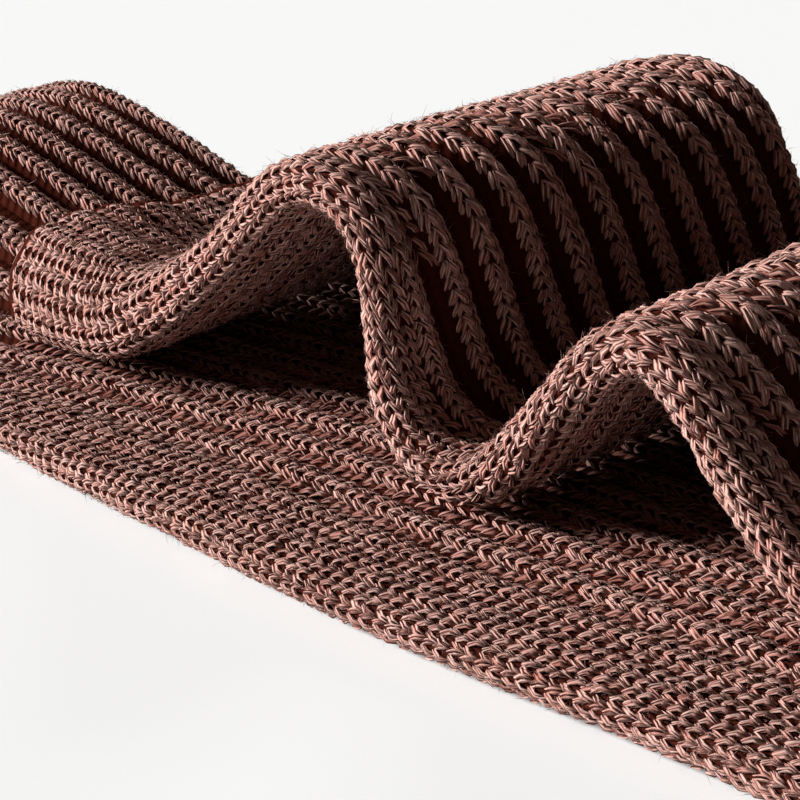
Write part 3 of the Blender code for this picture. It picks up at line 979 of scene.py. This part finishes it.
def leg_points(cloth, legs, model, slant):
    """The model bent into each leg and laid on the cloth: first out, then along the rib."""
    ends = (model.points[:, 2] + 1.0) / 2.0
    swing = np.minimum(ends * LEG_SWEEP, 1.0) * pi / 2
    off = LEG_IN + (LEG_OUT - LEG_IN) * np.sin(swing)
    lean = (LEG_OUT - LEG_IN) * np.cos(swing) * LEG_SWEEP * pi / 2
    width = legs.width[:, None]
    radius = legs.radius[:, None]
    turn = np.arctan2(lean * width, LEG_REACH * cloth.course)
    beside = model.points[:, 0] * radius + legs.across[:, None] + slant * (ends - 0.5)
    x = legs.side[:, None] * (off * width + np.cos(turn) * beside)
    y = cloth.course * (LEG_BASE + LEG_REACH * ends * legs.reach[:, None])
    y = y - np.sin(turn) * beside
    z = LEG_LOW + LEG_BOW * np.sin(pi * ends) + model.points[:, 1] * radius
    z = z + legs.lift[:, None]
    length = np.clip(legs.length[:, None] + y, 0.0, cloth.lengths[-1])
    start = cloth.at(cloth.moved, legs.length)[:, None]
    middle = legs.share[:, None] + cloth.at(cloth.moved, length) - start
    share = middle + x / (cloth.pitch(legs.length)[:, None] * RIBS)
    opened = cloth.opened(length, middle)
    return cloth.surface(length, share, z - cloth.top(length, share, opened))


def camera_turn():
    """The camera's rotation."""
    turn = Matrix.Rotation(radians(CAMERA_AZIMUTH), 3, "Z")
    tilt = Matrix.Rotation(radians(90.0 - CAMERA_DOWN), 3, "X")
    roll = Matrix.Rotation(radians(CAMERA_ROLL), 3, "Z")
    return turn @ tilt @ roll


def seen_close(cloth, length, share):
    """Places in the photograph's frame that are not turned away from its camera."""
    points, normals = cloth.place(length, share)
    toward = np.array(CAMERA_PLACE) - to_object_frame(points)
    distance = np.linalg.norm(toward, axis=1)
    facing = np.einsum("pk,pk->p", normals, toward) / distance
    inward = -toward @ np.array(camera_turn())
    reach = -inward[:, 2] * CAMERA_SENSOR / CAMERA_LENS / 2 * SEEN_MARGIN
    seen = (np.abs(inward[:, :2]).max(axis=1) < reach) & (facing > SEEN_FACING)
    starts = to_object_frame(points + normals * SEEN_ABOVE)
    trees = walls()
    for number in np.flatnonzero(seen):
        start = Vector(starts[number])
        way = Vector(CAMERA_PLACE) - start
        seen[number] = all(tree.ray_cast(start, way)[0] is None for tree in trees)
    return seen


@lru_cache
def walls():
    """The two cloths, for finding what hides what."""
    graph = bpy.context.evaluated_depsgraph_get()
    names = ("lower_cloth", "upper_cloth")
    return [BVHTree.FromObject(bpy.data.objects[name], graph) for name in names]


def add_stitches(cloth, name, slot, seed, close_material, material):
    """Every stitch that shows, as pieces of joined strands and yarn legs."""
    legs = stitch_legs(cloth, seed)
    close = seen_close(cloth, legs.length, legs.share)
    strands = strands_of(pick(legs, close), seed)
    for some, shape, slant, label, wool_material in (
        (strands, STRAND_SHAPE, STRAND_SLANT, "strands", close_material),
        (pick(legs, ~close), LEG_SHAPE, 0.0, "stitches", material),
    ):
        model = ellipsoid_model(*shape)
        order = np.argsort(some.length, kind="stable")
        parts = ceil(len(order) * (model.sizes - 2).sum() / PIECE_TRIANGLES)
        for number, part in enumerate(np.array_split(order, parts), start=1):
            picked = pick(some, part)
            points = leg_points(cloth, picked, model, slant)
            piece_name = f"{name}_{label}_{number}"
            mesh = joined_copies(piece_name, model, points, picked.side < 0, picked.shade)
            new_piece(mesh, wool_material)


# Stray fibres


def sliver_model():
    """A three-sided needle of four faces, from its broad end at -1 to its tip at 1 along Z."""
    deselect()
    bpy.ops.mesh.primitive_cone_add(vertices=3, radius1=1.0, radius2=0.0, depth=2.0)
    return take_model()


def fibre_lines(cloth, model, count, length_mean, radius, steep, rng):
    """The model laid along many short curved lines that start in the yarn."""
    end = cloth.lengths[-1] - TOE_CLEAR
    length = rng.uniform(FIBRE_START, end, count * FIBRE_TRIES)
    share = rng.random(count * FIBRE_TRIES)
    _, off = cloth.rib(length, share)
    on_rib = np.abs(off) < cloth.half_width(cloth.opened(length, share))
    usable = (cloth.stitched(length, share) > FIBRE_STITCHED) & on_rib
    usable &= seen_close(cloth, length, share) | (rng.random(len(length)) < FIBRE_UNSEEN)
    if cloth is lower_cloth():
        usable &= ~covered(cloth, length, share)
    length, share = length[usable][:count], share[usable][:count]
    count = len(length)
    points, normals = cloth.place(length, share)
    ahead, _ = cloth.place(length + 1.0, share)
    down = unit(ahead - points)
    sideways = np.cross(normals, down)
    angle = rng.uniform(0.0, 2 * pi, count)[:, None]
    climb = rng.uniform(*steep, count)[:, None]
    start = (down * np.cos(angle) + sideways * np.sin(angle)) * np.cos(climb)
    start = start + normals * np.sin(climb)
    across = unit(np.cross(start, normals))
    rise = np.cross(across, start)
    curl = rng.uniform(-FIBRE_CURL, FIBRE_CURL, count)[:, None]
    bend = across * curl - normals * np.abs(curl) * FIBRE_DROOP
    reach = length_mean * rng.gamma(FIBRE_EVEN, 1.0 / FIBRE_EVEN, count)[:, None, None]
    ends = ((model.points[:, 2] + 1.0) / 2.0)[None, :, None]
    opened = cloth.opened(length, share)
    base = points - normals * (FIBRE_ROOT + cloth.top(length, share, opened))[:, None]
    line = base[:, None, :] + (start[:, None, :] + bend[:, None, :] * ends) * reach * ends
    line = line + across[:, None, :] * model.points[None, :, 0:1] * radius
    line = line + rise[:, None, :] * model.points[None, :, 1:2] * radius
    return line[line[:, :, 2].min(axis=1) > 0.0]


def add_fibres(cloth, name, count, seed, material):
    """The nap: many short fibres close to the yarn, and a few longer stray hairs."""
    rng = np.random.default_rng(seed)
    hair_model = ellipsoid_model(*HAIR_SHAPE)
    hairs = count // NAP_PER_HAIR
    for label, model, number, *form in (
        ("nap", sliver_model(), count, NAP_LENGTH, NAP_RADIUS, NAP_STEEP),
        ("hairs", hair_model, hairs, HAIR_LENGTH, HAIR_RADIUS, HAIR_STEEP),
    ):
        lines = to_object_frame(fibre_lines(cloth, model, number, *form, rng))
        turned = np.ones(len(lines), dtype=bool)
        mesh = joined_copies(f"{name}_{label}", model, lines, turned, rng.random(len(lines)))
        new_piece(mesh, material)


# Materials


def add_node(tree, kind, inputs=None, **looks):
    """A shader node, whose inputs are given as sockets or as values."""
    node = tree.nodes.new(f"ShaderNode{kind}")
    for name, value in looks.items():
        setattr(node, name, value)
    fill_inputs(tree, node, inputs or {})
    return node


def fill_inputs(tree, node, inputs):
    """Link a node's inputs to the sockets that are given, and set the others."""
    for name, value in inputs.items():
        if isinstance(value, bpy.types.NodeSocket):
            tree.links.new(value, node.inputs[name])
        else:
            node.inputs[name].default_value = value


def add_math(tree, operation, *values):
    """A Math node whose inputs are sockets or numbers."""
    return add_node(tree, "Math", dict(enumerate(values)), operation=operation).outputs[0]


def add_vector_math(tree, operation, inputs):
    """A Vector Math node whose inputs are sockets or values."""
    return add_node(tree, "VectorMath", inputs, operation=operation).outputs[0]


def mix_tints(tree, share, first, last):
    """From the first tint at a share of 0 to the last at 1."""
    inputs = {0: share, 4: first, 5: last}
    return add_node(tree, "Mix", inputs, data_type="VECTOR", clamp_factor=True).outputs[1]


def add_noise(tree, vector, scale, detail=2.0):
    """Noise between 0 and 1, mostly near a half."""
    inputs = {"Vector": vector, "Scale": scale, "Detail": detail}
    return add_node(tree, "TexNoise", inputs).outputs[0]


def add_bump(tree, height, strength):
    """The normal of a surface with fine relief."""
    inputs = {"Height": height, "Strength": strength, "Distance": BUMP_HEIGHT}
    return add_node(tree, "Bump", inputs).outputs[0]


def knit_place(tree):
    """The knit's coordinates, round and along, the place in space, and the point's shade."""
    place = add_node(tree, "UVMap", uv_map=UV_LAYER).outputs[0]
    parts = add_node(tree, "SeparateXYZ", {0: place}).outputs
    space = add_node(tree, "TexCoord").outputs["Object"]
    shade = add_node(tree, "Attribute", attribute_name=SHADE_LAYER).outputs["Fac"]
    return parts[0], parts[1], space, shade


def yarn_group():
    """Spun yarn: twisting plies with painted shade between them and painted highlights on their
    tops, fine fibres, a shade for each stitch, and tints of painted shade and highlight by
    brightness.
    """
    group = bpy.data.node_groups.new("Spun yarn", "ShaderNodeTree")
    for name, kind, way in (
        ("Color", "NodeSocketColor", "INPUT"),
        ("Plies", "NodeSocketFloat", "INPUT"),
        ("Twist", "NodeSocketFloat", "INPUT"),
        ("Variation", "NodeSocketFloat", "INPUT"),
        ("Gap", "NodeSocketFloat", "INPUT"),
        ("Color", "NodeSocketColor", "OUTPUT"),
        ("Roughness", "NodeSocketFloat", "OUTPUT"),
        ("Normal", "NodeSocketVector", "OUTPUT"),
    ):
        group.interface.new_socket(name, in_out=way, socket_type=kind)
    entry = group.nodes.new("NodeGroupInput").outputs
    result = group.nodes.new("NodeGroupOutput")
    around, length, space, shade = knit_place(group)

    turns = add_math(group, "MULTIPLY", around, entry["Plies"])
    rise = add_math(group, "MULTIPLY", length, entry["Twist"])
    phase = add_math(group, "ADD", add_math(group, "ADD", turns, rise), shade)
    wave = add_math(group, "SINE", add_math(group, "MULTIPLY", phase, pi))
    ply = add_math(group, "POWER", add_math(group, "ABSOLUTE", wave), PLY_ROUND)
    stretched = add_node(
        group,
        "CombineXYZ",
        {
            0: add_math(group, "MULTIPLY", phase, FIBRES_ACROSS),
            1: add_math(group, "MULTIPLY", length, FIBRES_ALONG),
            2: add_math(group, "MULTIPLY", shade, FIBRES_APART),
        },
    )
    fibre = add_noise(group, stretched.outputs[0], 1.0)
    patches = add_noise(group, space, PATCH_SCALE)

    tone = add_math(group, "SUBTRACT", shade, 0.5)
    for noise, contrast in ((fibre, FIBRE_CONTRAST), (patches, PATCH_CONTRAST)):
        off = add_math(group, "SUBTRACT", noise, 0.5)
        tone = add_math(group, "MULTIPLY_ADD", off, contrast, tone)
    gain = add_math(group, "MULTIPLY_ADD", tone, entry["Variation"], 1.0)
    # painted shade in the grooves between plies, and a painted highlight on their tops
    rest = add_math(group, "SUBTRACT", PAINTED_PLY_HIGHLIGHT, entry["Gap"])
    lit = add_math(group, "MULTIPLY_ADD", ply, rest, entry["Gap"])
    gain = add_math(group, "MAXIMUM", add_math(group, "MULTIPLY", lit, gain), GAIN_RANGE[0])
    gain = add_math(group, "MINIMUM", gain, GAIN_RANGE[1])
    # painted shade and highlight: the wool is coloured redder where less bright and greyer where
    # brighter
    share = add_math(group, "MULTIPLY_ADD", gain, 1.0 / TINT_BLEND, -TINT_START / TINT_BLEND)
    tint = mix_tints(group, share, PAINTED_SHADE_TINT, PAINTED_HIGHLIGHT_TINT)
    hue = add_vector_math(group, "MULTIPLY", {0: entry["Color"], 1: tint})
    height = add_math(group, "MULTIPLY_ADD", fibre, FIBRE_HEIGHT, ply)
    roughness = add_math(group, "MULTIPLY_ADD", fibre, FIBRE_ROUGHNESS, ROUGHNESS)
    found = {
        "Color": add_vector_math(group, "SCALE", {0: hue, "Scale": gain}),
        "Roughness": roughness,
        "Normal": add_bump(group, height, 1.0),
    }
    fill_inputs(group, result, found)
    return group


def new_material(name):
    """A material with its node tree and its shader."""
    material = bpy.data.materials.new(name)
    material.use_nodes = True
    return material, material.node_tree, material.node_tree.nodes["Principled BSDF"]


def yarn_material(name, group, yarn, colour, sheen):
    """Matt wool with a nap, over the yarn group."""
    material, tree, shader = new_material(name)
    spun = tree.nodes.new("ShaderNodeGroup")
    spun.node_tree = group
    inputs = {
        "Color": (*colour, 1.0),
        "Plies": yarn.plies,
        "Twist": yarn.twist,
        "Variation": VARIATION,
        "Gap": yarn.gap,
    }
    fill_inputs(tree, spun, inputs)
    looks = {
        "Base Color": spun.outputs["Color"],
        "Roughness": spun.outputs["Roughness"],
        "Normal": spun.outputs["Normal"],
        "Specular IOR Level": SPECULAR,
        "Sheen Weight": sheen,
        "Sheen Roughness": SHEEN_ROUGHNESS,
        "Sheen Tint": SHEEN_TINT,
    }
    fill_inputs(tree, shader, looks)
    return material


def ground_material(name, colour):
    """The cloth: painted shade under its stitches, and paler with loops of its own where it is
    bare.
    """
    material, tree, shader = new_material(name)
    around, length, space, bare = knit_place(tree)
    column_place = add_math(tree, "FRACT", around)
    from_middle = add_math(tree, "ABSOLUTE", add_math(tree, "SUBTRACT", column_place, 0.5))
    slant = add_math(tree, "MULTIPLY_ADD", from_middle, LOOP_SLANT, length)
    row_wave = add_math(tree, "SINE", add_math(tree, "MULTIPLY", slant, 2 * pi))
    leg = add_math(tree, "SINE", add_math(tree, "MULTIPLY", from_middle, 2 * pi))
    fuzz = add_noise(tree, space, FUZZ_SCALE, FUZZ_DETAIL)
    height = add_math(tree, "MULTIPLY_ADD", row_wave, LOOP_HEIGHT, leg)
    height = add_math(tree, "MULTIPLY_ADD", fuzz, FUZZ_HEIGHT, height)
    tone = add_math(tree, "MULTIPLY_ADD", leg, LOOP_TONE, CLOTH_TONE)
    tone = add_math(tree, "MULTIPLY_ADD", fuzz, FUZZ_TONE, tone)
    # painted shade on the outside under the stitches, and plain wool at the rim and inside
    under, plain = [tuple(np.multiply(colour, tint)) for tint in (PAINTED_UNDER_SHADE, BARE_TINT)]
    light = mix_tints(tree, bare, under, plain)
    looks = {
        "Base Color": add_vector_math(tree, "SCALE", {0: light, "Scale": tone}),
        "Normal": add_bump(tree, height, CLOTH_BUMP),
        "Roughness": CLOTH_ROUGHNESS,
        "Specular IOR Level": 0.0,
    }
    fill_inputs(tree, shader, looks)
    return material


def floor_material():
    """Pale matt studio floor."""
    material, tree, shader = new_material("pale floor")
    fill_inputs(tree, shader, {"Base Color": FLOOR_COLOUR, "Roughness": FLOOR_ROUGHNESS})
    return material


# Settings, operators and panel


class SockSettings(bpy.types.PropertyGroup):
    """What a user would change on the pair of socks."""

    wool: bpy.props.FloatVectorProperty(
        name="Wool",
        description="Colour of the yarn",
        subtype="COLOR",
        size=3,
        min=0.0,
        max=1.0,
        default=(0.51, 0.249, 0.197),
    )
    sheen: bpy.props.FloatProperty(
        name="Nap",
        description="How strongly the wool's nap catches the light",
        subtype="FACTOR",
        min=0.0,
        max=1.0,
        default=0.06,
    )
    fibres: bpy.props.IntProperty(
        name="Fibres",
        description="Stray fibres on each sock",
        min=0,
        max=20000,
        default=10000,
    )
    key: bpy.props.FloatProperty(
        name="Key light",
        description="Strength of the soft light from the left",
        min=0.0,
        default=8.6,
    )
    rim: bpy.props.FloatProperty(
        name="Rim light",
        description="Strength of the weak light from behind",
        min=0.0,
        default=0.5,
    )
    fill: bpy.props.FloatProperty(
        name="Surroundings",
        description="Brightness of the warm surroundings",
        min=0.0,
        default=0.07,
    )


def settings():
    """The scene's sock settings."""
    return bpy.context.scene.sock_settings


def wool(name, yarn):
    """A yarn material, made once."""
    made = bpy.data.materials.get(name)
    if made:
        return made
    group = bpy.data.node_groups.get("Spun yarn") or yarn_group()
    return yarn_material(name, group, yarn, settings().wool, settings().sheen)


def both_socks():
    """The name, surface, unused material slot name and number of each sock."""
    return (
        ("lower", lower_cloth(), "lower_knit", 0),
        ("upper", upper_cloth(), "upper_knit", 1),
    )


class SOCKS_OT_cloth(bpy.types.Operator):
    """Add the ribbed cloth of both socks in place of their plain solids"""

    bl_idname = "socks.cloth"
    bl_label = "Cloth"

    def execute(self, context):
        ground = ground_material("knit ground", settings().wool)
        for name, cloth, slot, _ in both_socks():
            new_piece(cloth_mesh(f"{name}_cloth", cloth), ground, f"sock_{name}")
        return {"FINISHED"}


class SOCKS_OT_stitches(bpy.types.Operator):
    """Knit the stitches that show: two yarn legs each, in columns on the ribs"""

    bl_idname = "socks.stitches"
    bl_label = "Stitches"

    def execute(self, context):
        for name, cloth, slot, number in both_socks():
            materials = (wool(f"{name} strand", STRAND_YARN), wool(f"{name} yarn", LEG_YARN))
            add_stitches(cloth, name, slot, STITCH_SEED + number, *materials)
        return {"FINISHED"}


class SOCKS_OT_fibres(bpy.types.Operator):
    """Scatter the fine stray fibres of the wool"""

    bl_idname = "socks.fibres"
    bl_label = "Fibres"

    def execute(self, context):
        for name, cloth, slot, number in both_socks():
            material = wool(f"{name} strand", STRAND_YARN)
            add_fibres(cloth, name, settings().fibres, FIBRE_SEED + number, material)
        return {"FINISHED"}


class SOCKS_OT_declare(bpy.types.Operator):
    """Do nothing"""

    bl_idname = "socks.declare"
    bl_label = "State the cloth"

    def execute(self, context):
        return {"FINISHED"}


class SOCKS_OT_stage(bpy.types.Operator):
    """Set the pale floor, the soft lights and the camera at the photograph's angle"""

    bl_idname = "socks.stage"
    bl_label = "Stage"

    def execute(self, context):
        scene = context.scene
        deselect()
        bpy.ops.mesh.primitive_plane_add(size=FLOOR_SIZE, location=(0.0, 0.0, -FLOOR_DROP))
        floor = context.active_object
        floor.name = "pale_floor"
        floor.data.materials.append(floor_material())
        for name, place, spread, strength in (
            ("key", KEY_FROM, KEY_SPREAD, settings().key),
            ("rim", RIM_FROM, RIM_SPREAD, settings().rim),
        ):
            bpy.ops.object.light_add(type="SUN", location=place)
            light = context.active_object
            light.name = name
            light.data.angle = radians(spread)
            light.data.energy = strength
            light.rotation_euler = Vector(place).to_track_quat("Z", "Y").to_euler()
        world = bpy.data.worlds.new("warm surroundings")
        world.use_nodes = True
        background = world.node_tree.nodes["Background"]
        background.inputs["Color"].default_value = FILL_COLOUR
        background.inputs["Strength"].default_value = settings().fill
        scene.world = world
        scene.view_settings.view_transform = "Standard"
        bpy.ops.object.camera_add(location=CAMERA_PLACE)
        camera = context.active_object
        camera.name = "camera"
        camera.data.lens = CAMERA_LENS
        camera.data.sensor_width = CAMERA_SENSOR
        camera.data.clip_start = CAMERA_CLIP
        camera.rotation_euler = camera_turn().to_euler()
        scene.camera = camera
        return {"FINISHED"}


OPERATORS = (
    SOCKS_OT_cloth,
    SOCKS_OT_stitches,
    SOCKS_OT_fibres,
    SOCKS_OT_stage,
    SOCKS_OT_declare,
)


class SOCKS_PT_panel(bpy.types.Panel):
    """The pair of socks in the sidebar"""

    bl_idname = "SOCKS_PT_panel"
    bl_label = "Pair of calf socks"
    bl_space_type = "VIEW_3D"
    bl_region_type = "UI"
    bl_category = "Socks"

    def draw(self, context):
        values = context.scene.sock_settings
        for name in ("wool", "sheen", "fibres", "key", "rim", "fill"):
            self.layout.prop(values, name)
        for operator in OPERATORS:
            self.layout.operator(operator.bl_idname)


CLASSES = (SockSettings, *OPERATORS, SOCKS_PT_panel)


def register():
    for item in CLASSES:
        bpy.utils.register_class(item)
    bpy.types.Scene.sock_settings = bpy.props.PointerProperty(type=SockSettings)


def unregister():
    del bpy.types.Scene.sock_settings
    for item in reversed(CLASSES):
        bpy.utils.unregister_class(item)


def main():
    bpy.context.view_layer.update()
    register()
    bpy.ops.socks.cloth()
    bpy.ops.socks.stitches()
    bpy.ops.socks.fibres()
    bpy.ops.socks.stage()
    bpy.ops.socks.declare()


if __name__ == "__main__":
    main()
